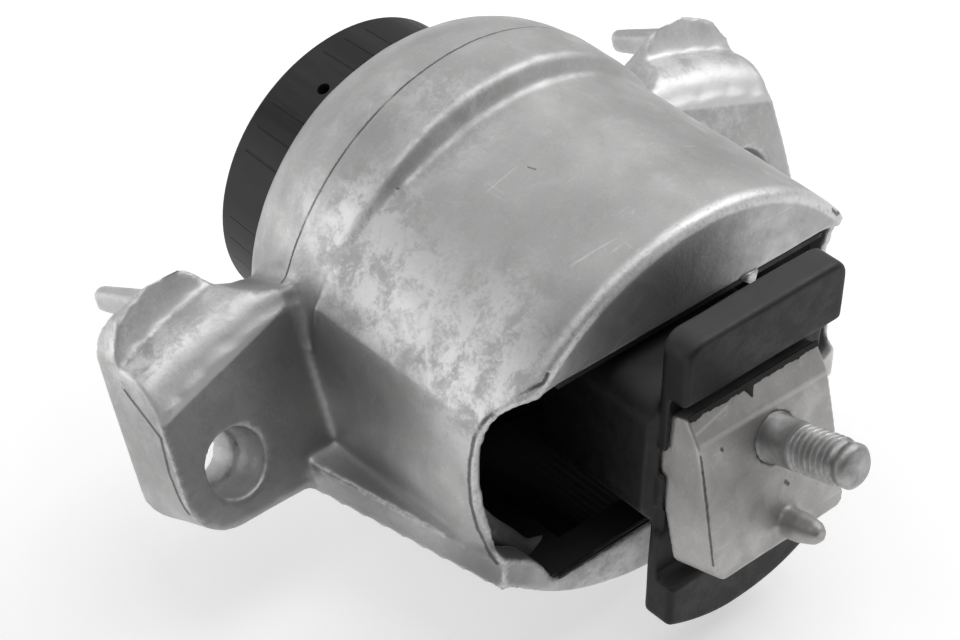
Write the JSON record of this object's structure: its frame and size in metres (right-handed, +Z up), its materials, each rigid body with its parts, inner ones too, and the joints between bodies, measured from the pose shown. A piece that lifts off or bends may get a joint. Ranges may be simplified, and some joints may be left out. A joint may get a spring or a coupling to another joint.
{
  "type": "engine mount",
  "caption": "Hydraulic engine mount: cast aluminium housing with drum, hood and bolt ears, rubber snubber, threaded stud and end cap.",
  "frame": {"origin": "point where the stud's axis leaves the core's seating face", "axes": "+Y from the stud towards the end cap, along the drum's axis; +Z up; +X from one bolt ear to the other"},
  "size_m": [0.2086, 0.181, 0.119],
  "materials": {
    "cast_housing": "blasted die casting",
    "cast_core": "raw die casting",
    "stud_steel": "dull zinc",
    "snubber_rubber": "satin",
    "spring_rubber": "matt",
    "sleeve_steel": "plain",
    "channel_plastic": "glass-filled moulding",
    "cap_plastic": "satin moulding"
  },
  "bodies": {
    "root": {"housing": "cast_housing", "core": "cast_core", "stud": "stud_steel", "snubber": "snubber_rubber", "outer_sleeve": "sleeve_steel", "main_spring": "spring_rubber", "front_channel_plate": "channel_plastic", "rear_channel_plate": "channel_plastic", "decoupler_membrane": "spring_rubber", "diaphragm_ring": "sleeve_steel", "diaphragm": "spring_rubber", "end_cap": "cap_plastic"}
  },
  "joints": []
}
